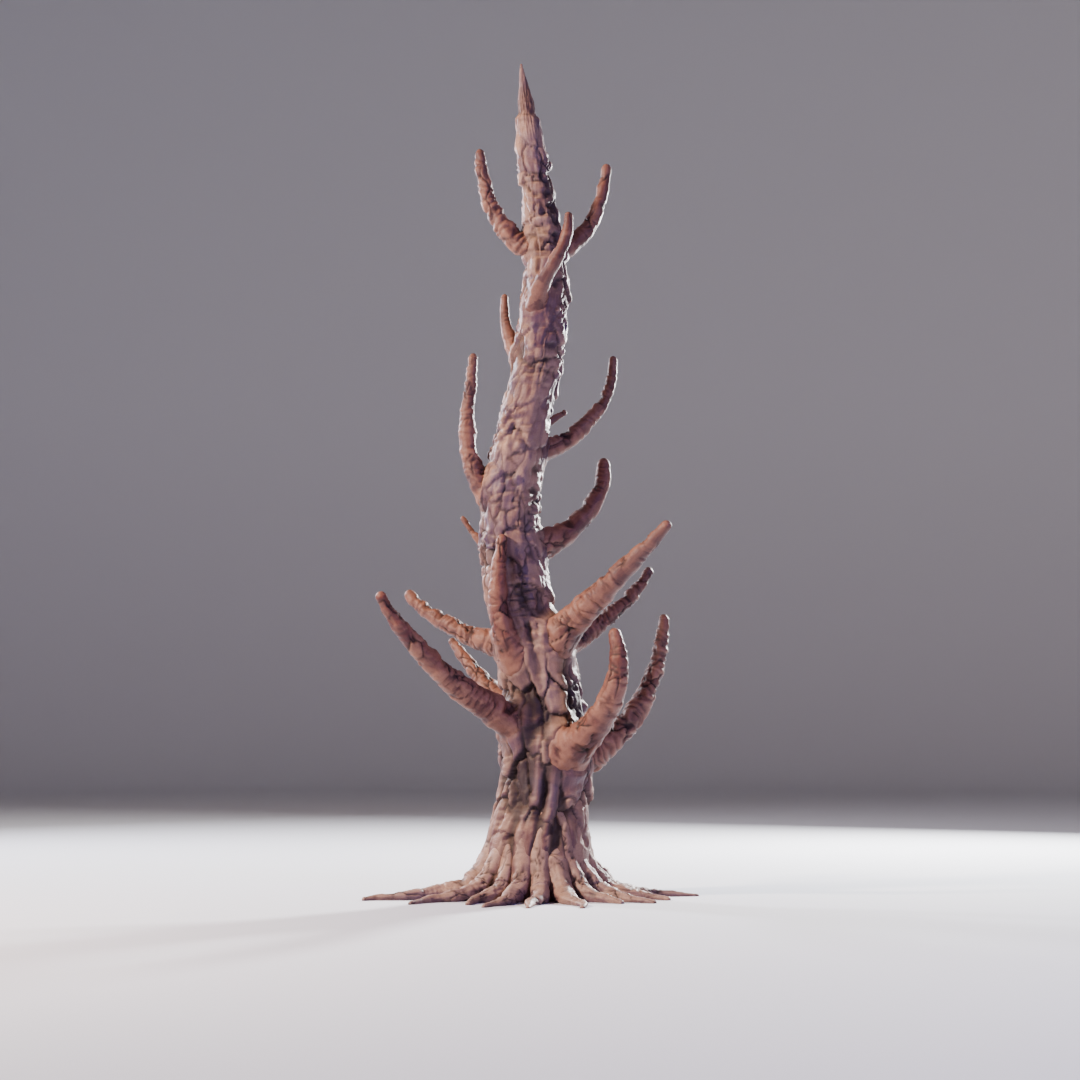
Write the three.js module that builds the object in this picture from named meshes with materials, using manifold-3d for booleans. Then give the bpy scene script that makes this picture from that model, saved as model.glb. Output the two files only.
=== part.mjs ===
// A standing dead tree: one stout, sinuous trunk that ends in a splintered spike, short horn-like boughs
// that leave it on every side and turn upward, and a ring of surface roots that run out over the ground.
// Millimetres, +Z up. The origin is on the ground at the middle of the trunk's flat cut; -Y is the front.
import * as THREE from "three";
import { mergeVertices } from "three/addons/utils/BufferGeometryUtils.js";
import Module from "manifold-3d";

const wasm = await Module();
wasm.setup();

// ---- Driving dimensions ----------------------------------------------------------------------------

const HEIGHT = 8000;
const GAP = 0.3; // clearance that a piece keeps from the neighbour it is cut by

const TRUNK_SIDES = 32;
const TRUNK_RINGS = 34;
const RING_CROWDING = 1.25; // above 1, the trunk's rings lie closer together near the ground
const BOUGH_SIDES = 10;
const BOUGH_RINGS = 10;
const ROOT_SIDES = 8;
const ROOT_RINGS = 7;

// The trunk's axis and girth: height, sideways lean, backward lean, radius.
const TRUNK_STATIONS = [
  [0, -10, 0, 470],
  [350, -30, 0, 464],
  [950, 22, 10, 420],
  [1400, 28, 30, 420],
  [2000, -2, 60, 382],
  [2750, -195, 70, 324],
  [3600, -306, 50, 296],
  [4300, -200, 10, 270],
  [5000, -50, -40, 244],
  [5600, 35, -70, 232],
  [6000, 46, -75, 200],
  [6500, 10, -60, 175],
  [7150, -90, -20, 138],
  [7550, -140, 10, 92],
  [HEIGHT, -195, 40, 12],
];

// The flare at the foot: a low skirt that spreads close to the ground, under broad buttresses.
const SKIRT_REACH = 110;
const SKIRT_HEIGHT = 110;
const BUTTRESS_REACH = 95;
const BUTTRESS_HEIGHT = 620;
const BUTTRESS_SHARPNESS = 26;

// Each bough: the height on the trunk's axis where it starts, its compass heading (0 is +X, 90 the back),
// its slope above level at the start, middle and end, how far it turns sideways, its length from the axis,
// and its radius at the start and near the tip. Angles are in degrees.
const BOUGHS = {
  low_left_front: { at: 1440, heading: 215, slope: [28, 34, 58], turn: 0, length: 2345, girth: [148, 48] },
  low_right_front: { at: 1220, heading: -54, slope: [26, 42, 125], turn: 8, length: 1890, girth: [172, 56] },
  low_right_back: { at: 1265, heading: 24, slope: [-7, 52, 86], turn: 0, length: 2160, girth: [138, 46] },
  low_left_back: { at: 1450, heading: 136, slope: [34, 38, 44], turn: 0, length: 1640, girth: [125, 34] },
  waist_front: { at: 2100, heading: -135, slope: [5, 78, 98], turn: 0, length: 1590, girth: [128, 44] },
  waist_right_front: { at: 2190, heading: -43, slope: [43, 36, 37], turn: 0, length: 2120, girth: [155, 42] },
  waist_right_back: { at: 2205, heading: 32, slope: [30, 31, 60], turn: 0, length: 1660, girth: [105, 44] },
  waist_left_back: { at: 2340, heading: 152, slope: [4, 22, 42], turn: 0, length: 1570, girth: [112, 48] },
  middle_back: { at: 2780, heading: 84, slope: [26, 50, 84], turn: 8, length: 1500, girth: [100, 34] },
  middle_right: { at: 3255, heading: 14, slope: [8, 43, 95], turn: 0, length: 1450, girth: [118, 60] },
  middle_left_spur: { at: 3050, heading: 158, slope: [36, 46, 56], turn: 0, length: 810, girth: [48, 16] },
  middle_left: { at: 3660, heading: 190, slope: [23, 86, 93], turn: 0, length: 1670, girth: [94, 42] },
  upper_right: { at: 4120, heading: 20, slope: [20, 42, 98], turn: 0, length: 1590, girth: [88, 38] },
  upper_right_stub: { at: 4355, heading: 28, slope: [26, 30, 34], turn: 0, length: 590, girth: [34, 24] },
  upper_back: { at: 4680, heading: 98, slope: [28, 56, 88], turn: -8, length: 1120, girth: [78, 28] },
  upper_left_spur: { at: 4970, heading: 156, slope: [38, 68, 98], turn: 0, length: 890, girth: [82, 22] },
  crown_front: { at: 5390, heading: -124, slope: [56, 45, 104], turn: 152, length: 1300, girth: [90, 34] },
  crown_left: { at: 6135, heading: 180, slope: [3, 64, 84], turn: 0, length: 1295, girth: [96, 42] },
  crown_right: { at: 6130, heading: 20, slope: [0, 61, 82], turn: 0, length: 1215, girth: [84, 40] },
};
const COLLAR_SWELL = 0.32; // how much wider a bough is where it meets the trunk
const COLLAR_LENGTH = 150;
const BOUGH_TAPER = 1.4; // above 1, a bough keeps its girth for longer before it thins
const BOUGH_STEPS = 60;
const TIP_ROUNDING = 1.6; // length of a bough's rounded end, in radii of its tip
const TIP_BLUNTNESS = 0.2; // radius of its last ring, as a share of the tip's

// Each surface root: its heading at the trunk and at its tip, and how far out its tip lies.
const ROOTS = [
  { heading: 192, ends: 197, reach: 1720, width: 125, crest: 130 },
  { heading: 213, ends: 218, reach: 1540, width: 110, crest: 95 },
  { heading: 234, ends: 236, reach: 1230, width: 100, crest: 80 },
  { heading: 252, ends: 250, reach: 1440, width: 105, crest: 80 },
  { heading: 270, ends: 264, reach: 1420, width: 100, crest: 75 },
  { heading: 289, ends: 286, reach: 1470, width: 115, crest: 80 },
  { heading: 307, ends: 311, reach: 1170, width: 95, crest: 75 },
  { heading: 325, ends: 321, reach: 1340, width: 105, crest: 80 },
  { heading: 344, ends: 341, reach: 1290, width: 100, crest: 80 },
  { heading: 4, ends: 6, reach: 1520, width: 105, crest: 75 },
  { heading: 32, ends: 38, reach: 1360, width: 120, crest: 85 },
  { heading: 62, ends: 66, reach: 1480, width: 115, crest: 80 },
  { heading: 95, ends: 92, reach: 1300, width: 125, crest: 85 },
  { heading: 126, ends: 131, reach: 1500, width: 115, crest: 85 },
  { heading: 160, ends: 163, reach: 1350, width: 120, crest: 90 },
];
const ROOT_START = 300; // distance from the axis, inside the trunk's foot
const ROOT_RISE = 430; // how much higher than its crest a root is where it leaves the trunk
const ROOT_RISE_LENGTH = 260;
const ROOT_TIP = 0.22; // width of a root's tip, as a share of its width at the trunk
const ROOT_SINK = 0.45; // share of its crest that a root has lost at its tip
const ROOT_TAPER = 1.4; // above 1, a root keeps its width for longer before it narrows
const ROOT_ROUNDING = 6; // the higher, the shorter its rounded end
const ROOT_BLUNTNESS = 0.02; // area of its last ring, as a share of the full one
const ROOT_RING_SPREAD = 0.85; // below 1, its rings lie closer together near the tip
const ROOT_BULGE = 40; // how much wider a root is where it leaves the trunk
const ROOT_BULGE_LENGTH = 180;
const BUTTRESS_HOLLOW = 0.45; // how deep the trunk is drawn in between two buttresses

// ---- Helpers ---------------------------------------------------------------------------------------

const radians = THREE.MathUtils.degToRad;

// A closed solid through rings with the same number of points, each turning the same way round.
function loft(rings) {
  const sides = rings[0].length;
  const points = rings.flat();
  const faces = [];
  rings.slice(1).forEach((ring, i) => {
    for (let j = 0; j < sides; j++) {
      const a = i * sides + j;
      const b = i * sides + ((j + 1) % sides);
      faces.push(a, b, b + sides, a, b + sides, a + sides);
    }
  });
  const cap = (start, turned) => {
    const middle = new THREE.Vector3();
    for (let j = 0; j < sides; j++) middle.addScaledVector(points[start + j], 1 / sides);
    points.push(middle);
    for (let j = 0; j < sides; j++) {
      const edge = [start + j, start + ((j + 1) % sides)];
      if (turned) edge.reverse();
      faces.push(edge[0], edge[1], points.length - 1);
    }
  };
  cap(0, true);
  cap((rings.length - 1) * sides, false);
  const geometry = new THREE.BufferGeometry().setFromPoints(points);
  geometry.setIndex(faces);
  return geometry;
}

function solidOf(geometry) {
  const merged = mergeVertices(geometry, 1e-3);
  return new wasm.Manifold(
    new wasm.Mesh({
      numProp: 3,
      vertProperties: merged.attributes.position.array,
      triVerts: new Uint32Array(merged.index.array),
    }),
  );
}

// The largest of a solid's separate bodies: a cut can leave a crumb beside it.
function largestBody(solid) {
  return solid.decompose().reduce((best, body) => (body.volume() > best.volume() ? body : best));
}

function geometryOf(solid) {
  const mesh = solid.getMesh();
  const geometry = new THREE.BufferGeometry();
  geometry.setAttribute("position", new THREE.BufferAttribute(mesh.vertProperties, 3));
  geometry.setIndex(new THREE.BufferAttribute(mesh.triVerts, 1));
  geometry.computeVertexNormals();
  return geometry;
}

// ---- Trunk -----------------------------------------------------------------------------------------

const trunkAxis = new THREE.CatmullRomCurve3(
  TRUNK_STATIONS.map(([z, x, y]) => new THREE.Vector3(x, y, z)),
  false,
  "centripetal",
);

// The station numbers and the share of the way between them at a height.
function stationAt(z) {
  const last = TRUNK_STATIONS.length - 1;
  let i = 0;
  while (i < last - 1 && TRUNK_STATIONS[i + 1][0] < z) i++;
  const [low, high] = [TRUNK_STATIONS[i][0], TRUNK_STATIONS[i + 1][0]];
  return { i, share: THREE.MathUtils.clamp((z - low) / (high - low), 0, 1) };
}

// The trunk's centre at a height, from the smooth axis.
function trunkCentre(z) {
  const { i, share } = stationAt(z);
  const parts = TRUNK_STATIONS.length - 1;
  const p = trunkAxis.getPoint((i + share) / parts);
  return new THREE.Vector3(p.x, p.y, z);
}

// The trunk's plain radius at a height, smoothed between the stations.
function trunkRadius(z) {
  const { i, share } = stationAt(z);
  const at = (k) => TRUNK_STATIONS[THREE.MathUtils.clamp(k, 0, TRUNK_STATIONS.length - 1)][3];
  const [below, low, high, above] = [at(i - 1), at(i), at(i + 1), at(i + 2)];
  const leaving = (high - below) / 2;
  const arriving = (above - low) / 2;
  const square = (high - low) * 3 - leaving * 2 - arriving;
  const cube = (low - high) * 2 + leaving + arriving;
  return low + share * (leaving + share * (square + share * cube));
}

// The skirt and the buttresses that lead into the roots, as an addition to the plain radius.
function flare(z, angle) {
  const skirt = SKIRT_REACH * Math.exp(-z / SKIRT_HEIGHT);
  const near = Math.max(
    ...ROOTS.map((root) => Math.exp(BUTTRESS_SHARPNESS * (Math.cos(angle - radians(root.heading)) - 1))),
  );
  return skirt + (near - BUTTRESS_HOLLOW) * BUTTRESS_REACH * Math.exp(-z / BUTTRESS_HEIGHT);
}

// The trunk's outline, grown by a margin; a cutter with a margin leaves clearance round the trunk.
function trunkSolid(margin) {
  const rings = [];
  for (let i = 0; i <= TRUNK_RINGS; i++) {
    const z = HEIGHT * (i / TRUNK_RINGS) ** RING_CROWDING;
    const centre = trunkCentre(z);
    const ring = [];
    for (let j = 0; j < TRUNK_SIDES; j++) {
      const angle = (2 * Math.PI * j) / TRUNK_SIDES;
      const radius = trunkRadius(z) + flare(z, angle) + margin;
      ring.push(new THREE.Vector3(radius * Math.cos(angle), radius * Math.sin(angle), 0).add(centre));
    }
    rings.push(ring);
  }
  return solidOf(loft(rings));
}

// ---- Boughs ----------------------------------------------------------------------------------------

// The radius at a share of the way along: a taper with a collar at the trunk and a blunt, rounded tip.
function boughRadius(bough, share, outside) {
  const [thick, thin] = bough.girth;
  const taper = thick + (thin - thick) * share ** BOUGH_TAPER;
  const collar = 1 + COLLAR_SWELL * Math.exp(-Math.max(0, outside) / COLLAR_LENGTH);
  const tipLength = (TIP_ROUNDING * thin) / bough.length;
  const fromTip = Math.min(1, (1 - share) / tipLength);
  return taper * collar * Math.sqrt(Math.max(TIP_BLUNTNESS ** 2, 1 - (1 - fromTip) ** 2));
}

// Points along a bough's centreline, found by stepping along it while its slope and heading change.
function boughPath(bough) {
  const [start, middle, end] = bough.slope;
  const step = bough.length / BOUGH_STEPS;
  const point = trunkCentre(bough.at);
  const path = [point.clone()];
  for (let i = 0; i < BOUGH_STEPS; i++) {
    const t = (i + 0.5) / BOUGH_STEPS;
    const slope = start * (1 - t) * (1 - 2 * t) + middle * 4 * t * (1 - t) + end * t * (2 * t - 1);
    const rise = radians(slope);
    const heading = radians(bough.heading + bough.turn * t);
    point.x += step * Math.cos(rise) * Math.cos(heading);
    point.y += step * Math.cos(rise) * Math.sin(heading);
    point.z += step * Math.sin(rise);
    path.push(point.clone());
  }
  return new THREE.CatmullRomCurve3(path);
}

function boughSolid(bough) {
  const path = boughPath(bough);
  const wall = trunkRadius(bough.at);
  const frames = path.computeFrenetFrames(BOUGH_RINGS, false);
  const lastFullRing = 1 - (TIP_ROUNDING * bough.girth[1]) / (2 * bough.length);
  const rings = [];
  for (let i = 0; i <= BOUGH_RINGS; i++) {
    const share = i === BOUGH_RINGS ? 1 : (i / (BOUGH_RINGS - 1)) * lastFullRing;
    const centre = path.getPointAt(share);
    const outside = share * bough.length - wall;
    const radius = boughRadius(bough, share, outside);
    const ring = [];
    for (let j = 0; j < BOUGH_SIDES; j++) {
      const angle = (2 * Math.PI * j) / BOUGH_SIDES;
      ring.push(
        centre
          .clone()
          .addScaledVector(frames.normals[i], radius * Math.cos(angle))
          .addScaledVector(frames.binormals[i], radius * Math.sin(angle)),
      );
    }
    rings.push(ring);
  }
  return solidOf(loft(rings));
}

// ---- Roots -----------------------------------------------------------------------------------------

// A root is an arch with a flat underside on the ground, high at the trunk and low and blunt at its tip.
function rootSolid(root, margin) {
  const rings = [];
  for (let i = 0; i <= ROOT_RINGS; i++) {
    const share = i / ROOT_RINGS;
    const along = Math.sin((share * Math.PI) / 2) ** ROOT_RING_SPREAD;
    const out = ROOT_START + (root.reach - ROOT_START) * along;
    const heading = radians(THREE.MathUtils.lerp(root.heading, root.ends, along ** 2));
    const foot = trunkCentre(0);
    const centre = new THREE.Vector3(foot.x + out * Math.cos(heading), foot.y + out * Math.sin(heading), 0);
    const sideways = new THREE.Vector3(-Math.sin(heading), Math.cos(heading), 0);
    const blunt = Math.sqrt(Math.max(ROOT_BLUNTNESS, 1 - along ** ROOT_ROUNDING));
    const rise = ROOT_RISE * Math.exp(-(out - ROOT_START) / ROOT_RISE_LENGTH);
    const bulge = ROOT_BULGE * Math.exp(-(out - ROOT_START) / ROOT_BULGE_LENGTH);
    const width = root.width * THREE.MathUtils.lerp(1, ROOT_TIP, along ** ROOT_TAPER) * blunt + bulge + margin;
    const height = (root.crest * (1 - ROOT_SINK * along) + rise) * blunt + margin;
    const ring = [];
    for (let j = 0; j < ROOT_SIDES; j++) {
      const angle = (Math.PI * j) / (ROOT_SIDES - 1);
      ring.push(
        centre
          .clone()
          .addScaledVector(sideways, width * Math.cos(angle))
          .setZ(height * Math.sin(angle)),
      );
    }
    rings.push(ring);
  }
  return solidOf(loft(rings));
}

// ---- The tree --------------------------------------------------------------------------------------

const trunkWood = new THREE.MeshStandardMaterial({ color: 0xb08a72, roughness: 0.78, metalness: 0 });
const boughWood = new THREE.MeshStandardMaterial({ color: 0xa87c66, roughness: 0.76, metalness: 0 });
const rootWood = new THREE.MeshStandardMaterial({ color: 0xb4917a, roughness: 0.8, metalness: 0 });

const tree = new THREE.Group();

function add(name, solid, material) {
  const mesh = new THREE.Mesh(geometryOf(solid), material);
  mesh.name = name;
  tree.add(mesh);
}

const trunkCutter = trunkSolid(GAP);
add("trunk", trunkSolid(0), trunkWood);

for (const [name, bough] of Object.entries(BOUGHS)) {
  add(`bough_${name}`, largestBody(boughSolid(bough).subtract(trunkCutter)), boughWood);
}

const earlierRoots = [];
ROOTS.forEach((root, i) => {
  const whole = rootSolid(root, 0).subtract(trunkCutter);
  const cut = earlierRoots.reduce((rest, earlier) => rest.subtract(earlier), whole);
  add(`root_${i + 1}`, largestBody(cut), rootWood);
  earlierRoots.push(rootSolid(root, GAP));
});

export default tree;
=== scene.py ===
"""A standing dead tree: a stout barked trunk with a splintered spike, horn-like boughs and surface roots.

Everything is in metres: +Z up, the ground at z = 0, the front facing -Y. The tree's plain solids give every
place and size. Each one is measured by cutting across it. The barked limb that replaces it is drawn out ring
by ring as a straight bar, bent along its path, and pushed out into its bark's relief.
"""

from math import cos, pi, radians, sin, sqrt

import bpy
import numpy as np
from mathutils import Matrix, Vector
from mathutils.bvhtree import BVHTree


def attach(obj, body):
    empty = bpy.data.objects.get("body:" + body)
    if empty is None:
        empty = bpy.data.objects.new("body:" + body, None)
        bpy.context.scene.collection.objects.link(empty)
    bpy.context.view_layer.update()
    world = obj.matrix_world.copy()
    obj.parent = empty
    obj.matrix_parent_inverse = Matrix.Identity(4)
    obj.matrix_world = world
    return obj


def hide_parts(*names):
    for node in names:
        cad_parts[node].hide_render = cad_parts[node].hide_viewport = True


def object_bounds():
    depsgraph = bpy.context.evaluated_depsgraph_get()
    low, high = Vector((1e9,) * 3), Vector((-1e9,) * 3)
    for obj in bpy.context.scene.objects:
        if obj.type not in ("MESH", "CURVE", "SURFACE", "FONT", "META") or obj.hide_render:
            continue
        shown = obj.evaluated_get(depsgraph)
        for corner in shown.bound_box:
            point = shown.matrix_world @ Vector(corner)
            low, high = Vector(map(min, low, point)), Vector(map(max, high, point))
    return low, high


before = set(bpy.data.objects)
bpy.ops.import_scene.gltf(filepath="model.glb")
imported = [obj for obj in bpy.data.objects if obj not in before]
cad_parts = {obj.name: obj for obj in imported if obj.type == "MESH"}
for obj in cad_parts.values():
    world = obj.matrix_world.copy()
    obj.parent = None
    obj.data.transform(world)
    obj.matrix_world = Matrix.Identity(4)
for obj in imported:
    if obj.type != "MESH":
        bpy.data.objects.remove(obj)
packed_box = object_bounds()

TRUNK = "trunk"
BOUGHS = sorted(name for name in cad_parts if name.startswith("bough_"))
ROOTS = sorted(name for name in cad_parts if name.startswith("root_"))

HEIGHT = packed_box[1][2]


# ---- Camera ------------------------------------------------------------------------------------------

EYE_SIDEWAYS = -0.0095
EYE_HEIGHT = 1.71
EYE_DISTANCE = 24.2
EYE_TILT = radians(3.93)
LENS = 85.0
FILM_WIDTH = 36.0
FARTHEST_SEEN = 200.0

camera_data = bpy.data.cameras.new("camera")
camera_data.lens = LENS
camera_data.sensor_width = FILM_WIDTH
camera_data.clip_end = FARTHEST_SEEN
camera = bpy.data.objects.new("camera", camera_data)
camera.location = (EYE_SIDEWAYS, -EYE_DISTANCE, EYE_HEIGHT)
camera.rotation_euler = (pi / 2 + EYE_TILT, 0.0, 0.0)
bpy.context.scene.collection.objects.link(camera)
bpy.context.scene.camera = camera


# ---- Node trees --------------------------------------------------------------------------------------


class Wire:
    """A socket of a node tree. Arithmetic on it adds Math nodes, and node() adds any other node."""

    def __init__(self, tree, socket=None):
        self.tree = tree
        self.socket = socket

    @staticmethod
    def pick(sockets, name):
        """The socket with a number, or the one in use with a name."""
        if isinstance(name, int):
            return sockets[name]
        return next(socket for socket in sockets if socket.enabled and socket.name == name)

    def node(self, kind, settings=None, sockets=None, out=0):
        """Adds a node: its settings first, then the values or links of its sockets."""
        made = self.tree.nodes.new(kind)
        for name, value in (settings or {}).items():
            setattr(made, name, value)
        for name, value in (sockets or {}).items():
            socket = self.pick(made.inputs, name)
            if isinstance(value, Wire):
                self.tree.links.new(value.socket, socket)
            else:
                socket.default_value = value
        return Wire(self.tree, self.pick(made.outputs, out) if made.outputs else None)

    def out(self, name):
        """Another output of the node that this socket belongs to."""
        return Wire(self.tree, self.pick(self.socket.node.outputs, name))

    def math(self, operation, *values):
        return self.node("ShaderNodeMath", {"operation": operation}, dict(enumerate(values)))

    def vector(self, operation, *values):
        return self.node("ShaderNodeVectorMath", {"operation": operation}, dict(enumerate(values)))

    def __add__(self, other):
        return self.math("ADD", self, other)

    __radd__ = __add__

    def __sub__(self, other):
        return self.math("SUBTRACT", self, other)

    def __rsub__(self, other):
        return self.math("SUBTRACT", other, self)

    def __mul__(self, other):
        return self.math("MULTIPLY", self, other)

    __rmul__ = __mul__

    def __truediv__(self, other):
        return self.math("DIVIDE", self, other)

    def __pow__(self, other):
        return self.math("POWER", self, other)

    def __abs__(self):
        return self.math("ABSOLUTE", self)

    def least(self, other):
        return self.math("MINIMUM", self, other)

    def most(self, other):
        return self.math("MAXIMUM", self, other)

    def rise(self, low, high):
        """0 below low and 1 above high, eased between them; falls instead when low is above high."""
        settings = {"interpolation_type": "SMOOTHSTEP"}
        if low > high:
            ends = {"From Min": high, "From Max": low, "To Min": 1.0, "To Max": 0.0}
        else:
            ends = {"From Min": low, "From Max": high, "To Min": 0.0, "To Max": 1.0}
        return self.node("ShaderNodeMapRange", settings, {"Value": self, **ends}, "Result")

    def stretch(self, x, y, z):
        """A vector with its parts multiplied, so that a pattern read there is drawn out the other way."""
        return self.vector("MULTIPLY", self, (x, y, z))

    def part(self, axis):
        """The X, Y or Z of a vector."""
        return self.node("ShaderNodeSeparateXYZ", None, {"Vector": self}, axis)

    def noise(self, scale, detail=2.0, roughness=0.5, out="Fac"):
        """Cloudy noise, mostly between 0.3 and 0.7."""
        settings = {"noise_dimensions": "3D"}
        sockets = {"Vector": self, "Scale": scale, "Detail": detail, "Roughness": roughness}
        return self.node("ShaderNodeTexNoise", settings, sockets, out)

    def wobble(self, scale, detail=2.0, roughness=0.5):
        """Noise to both sides of 0."""
        return self.noise(scale, detail, roughness) - 0.5

    def veins(self, scale, detail=2.0, roughness=0.5):
        """Noise that falls to 0 along winding lines."""
        return abs(self.wobble(scale, detail, roughness))

    def cells(self, scale, feature="F1", randomness=0.9):
        """A pattern of cells: the distance to the nearest cell's middle, or to its edge."""
        sockets = {"Vector": self, "Scale": scale, "Randomness": randomness}
        return self.node("ShaderNodeTexVoronoi", {"feature": feature}, sockets, "Distance")

    def blend(self, first, second):
        """Two colours mixed by this value as the factor."""
        sockets = {"Factor": self, "A": first, "B": second}
        return self.node("ShaderNodeMix", {"data_type": "RGBA"}, sockets, "Result")


# ---- Measuring the solids ----------------------------------------------------------------------------

UP = np.array((0.0, 0.0, 1.0))
FLAT = (1.0, 1.0, 0.0)

LIMB_STEP = 0.05
MOST_CUTS = 90
FEWEST_POINTS = 10
CLEARANCE = 0.004
TRUNK_CUTS = 161
LOWEST_CUT = 0.004
HIGHEST_CUT = HEIGHT - 0.01

BOUGH_TIP_REACH = 0.25
BOUGH_FIRST_CUT = 0.012
GIRTH_DROP = 0.8
GIRTH_JUMP = 1.25
INWARD_PULL = 0.2
BURIED_SHARE = 0.4

ROOT_FIRST_CUT = 0.006
ROOT_START_REACH = 0.12
FLARE_LEVEL = 0.35
FLARE_MARGIN = 0.03


def triangles_of(node):
    """The corners of a plain solid's triangles."""
    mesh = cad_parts[node].data
    mesh.calc_loop_triangles()
    corners = np.array([vertex.co for vertex in mesh.vertices])
    return corners[np.array([triangle.vertices[:] for triangle in mesh.loop_triangles])]


def cut_across(triangles, point, along):
    """The line segments in which a plane through point, square to along, cuts a solid."""
    side = (triangles - point) @ along
    crossed = (side.min(axis=1) < 0.0) & (side.max(axis=1) > 0.0)
    starts, side = triangles[crossed], side[crossed]
    ends = np.roll(starts, -1, axis=1)
    side_ends = np.roll(side, -1, axis=1)
    cut = side * side_ends < 0.0
    share = np.where(cut, side / np.where(cut, side - side_ends, 1.0), 0.0)
    points = starts + (ends - starts) * share[:, :, None]
    whole = cut.sum(axis=1) == 2
    return points[whole][cut[whole]].reshape(-1, 2, 3)


def centre_and_girth(segments):
    """The centre of a cut's outline and its mean radius."""
    lengths = np.linalg.norm(segments[:, 1] - segments[:, 0], axis=1)
    middles = segments.mean(axis=1)
    centre = (middles * lengths[:, None]).sum(axis=0) / lengths.sum()
    radius = (np.linalg.norm(middles - centre, axis=1) * lengths).sum() / lengths.sum()
    return centre, radius


def unit(vector):
    """A direction with the length 1."""
    return vector / np.linalg.norm(vector)


trunk_triangles = triangles_of(TRUNK)
TRUNK_LEVELS = np.linspace(LOWEST_CUT, HIGHEST_CUT, TRUNK_CUTS)
trunk_cuts = [centre_and_girth(cut_across(trunk_triangles, UP * z, UP)) for z in TRUNK_LEVELS]
TRUNK_CENTRES = np.array([centre for centre, _ in trunk_cuts])
TRUNK_GIRTHS = np.array([radius for _, radius in trunk_cuts])


def trunk_centre(z):
    """The middle of the trunk at a height."""
    return np.array((np.interp(z, TRUNK_LEVELS, TRUNK_CENTRES[:, 0]),
                     np.interp(z, TRUNK_LEVELS, TRUNK_CENTRES[:, 1]), z))


def trunk_girth(z):
    """The trunk's mean radius at a height."""
    return float(np.interp(z, TRUNK_LEVELS, TRUNK_GIRTHS))


def fit_round(points, along):
    """The circle square to along that best fits points around a limb: its centre and radius."""
    across = unit(np.cross(along, (0.3, 0.2, 1.0)))
    over = np.cross(along, across)
    origin = points.mean(axis=0)
    x, y = (points - origin) @ across, (points - origin) @ over
    sides = np.column_stack((2.0 * x, 2.0 * y, np.ones_like(x)))
    shift_x, shift_y, rest = np.linalg.lstsq(sides, x * x + y * y, rcond=None)[0]
    centre = origin + across * shift_x + over * shift_y
    return centre, sqrt(max(rest + shift_x**2 + shift_y**2, 1e-6))


trunk_corners = trunk_triangles.reshape(-1, 3)
trunk_faces = np.arange(len(trunk_corners)).reshape(-1, 3)
trunk_skin = BVHTree.FromPolygons(trunk_corners.tolist(), trunk_faces.tolist())


def is_free(point):
    """Whether a place stands clear of the trunk's skin."""
    return trunk_skin.find_nearest(Vector(point))[3] > CLEARANCE


def measure_bough(node):
    """Centres and girths along a bough, from inside the trunk out to its tip."""
    triangles = triangles_of(node)
    corners = triangles.reshape(-1, 3)
    tip = corners[corners[:, 2].argmax()]
    near = corners[np.linalg.norm(corners - tip, axis=1) < BOUGH_TIP_REACH]
    along = unit(near.mean(axis=0) - tip)
    centres, girths = [], []
    point = tip + along * BOUGH_FIRST_CUT
    for _ in range(MOST_CUTS):
        ends = cut_across(triangles, point, along).reshape(-1, 3)
        free = np.array([end for end in ends if is_free(end)])
        if len(free) < FEWEST_POINTS:
            break
        centre, girth = fit_round(free, along)
        if len(centres) > 3 and not GIRTH_DROP < girth / girths[-1] < GIRTH_JUMP:
            break
        if centres:
            along = unit(along + 2.0 * unit(centre - centres[-1]))
        centres.append(centre)
        girths.append(girth)
        point = centre + along * LIMB_STEP
    for _ in range(MOST_CUTS):
        axis = trunk_centre(centres[-1][2])
        inward = axis - centres[-1]
        if np.linalg.norm(inward) < BURIED_SHARE * trunk_girth(axis[2]):
            break
        along = unit(along + INWARD_PULL * unit(inward))
        centres.append(centres[-1] + along * LIMB_STEP)
        girths.append(girths[-1])
    return np.array(centres[::-1]), np.array(girths[::-1])


def measure_root(node):
    """Centres on the ground, half widths and crest heights along a root, from the trunk out to its tip."""
    triangles = triangles_of(node)
    corners = triangles.reshape(-1, 3)
    foot = trunk_centre(0.0)
    reach = np.linalg.norm((corners - foot)[:, :2], axis=1)
    tip = corners[reach.argmax()] * FLAT
    start = corners[reach < reach.min() + ROOT_START_REACH].mean(axis=0) * FLAT
    along = unit(start - tip)
    centres, widths, crests = [], [], []
    point = tip + along * ROOT_FIRST_CUT
    for _ in range(MOST_CUTS):
        segments = cut_across(triangles, point, along)
        if not len(segments):
            break
        sideways = np.array((-along[1], along[0], 0.0))
        spread = (segments.reshape(-1, 3) - point) @ sideways
        centre = point + sideways * (spread.max() + spread.min()) / 2
        if centres:
            if np.linalg.norm((centre - foot)[:2]) < trunk_girth(FLARE_LEVEL) + FLARE_MARGIN:
                break
            along = unit(along + unit(centre - centres[-1]))
        centres.append(centre)
        widths.append((spread.max() - spread.min()) / 2)
        crests.append(segments[:, :, 2].max())
        point = centre + along * LIMB_STEP
    return np.array(centres[::-1]), np.array(widths[::-1]), np.array(crests[::-1])


# ---- Modelling ---------------------------------------------------------------------------------------

LIMB_SIDES = 16
SMOOTHING = 2
DOME_STEPS = 4
DOME_FIRST_STEP = 0.35
DOME_END = 0.12


def pick_only(piece):
    """Selects one piece and nothing else."""
    bpy.ops.object.select_all(action="DESELECT")
    piece.select_set(True)
    bpy.context.view_layer.objects.active = piece


def apply_modifier(piece, name, kind, **settings):
    """Adds a modifier to a piece and applies it."""
    modifier = piece.modifiers.new(name, kind)
    for setting, value in settings.items():
        setattr(modifier, setting, value)
    pick_only(piece)
    bpy.ops.object.modifier_apply(modifier=modifier.name)


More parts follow.
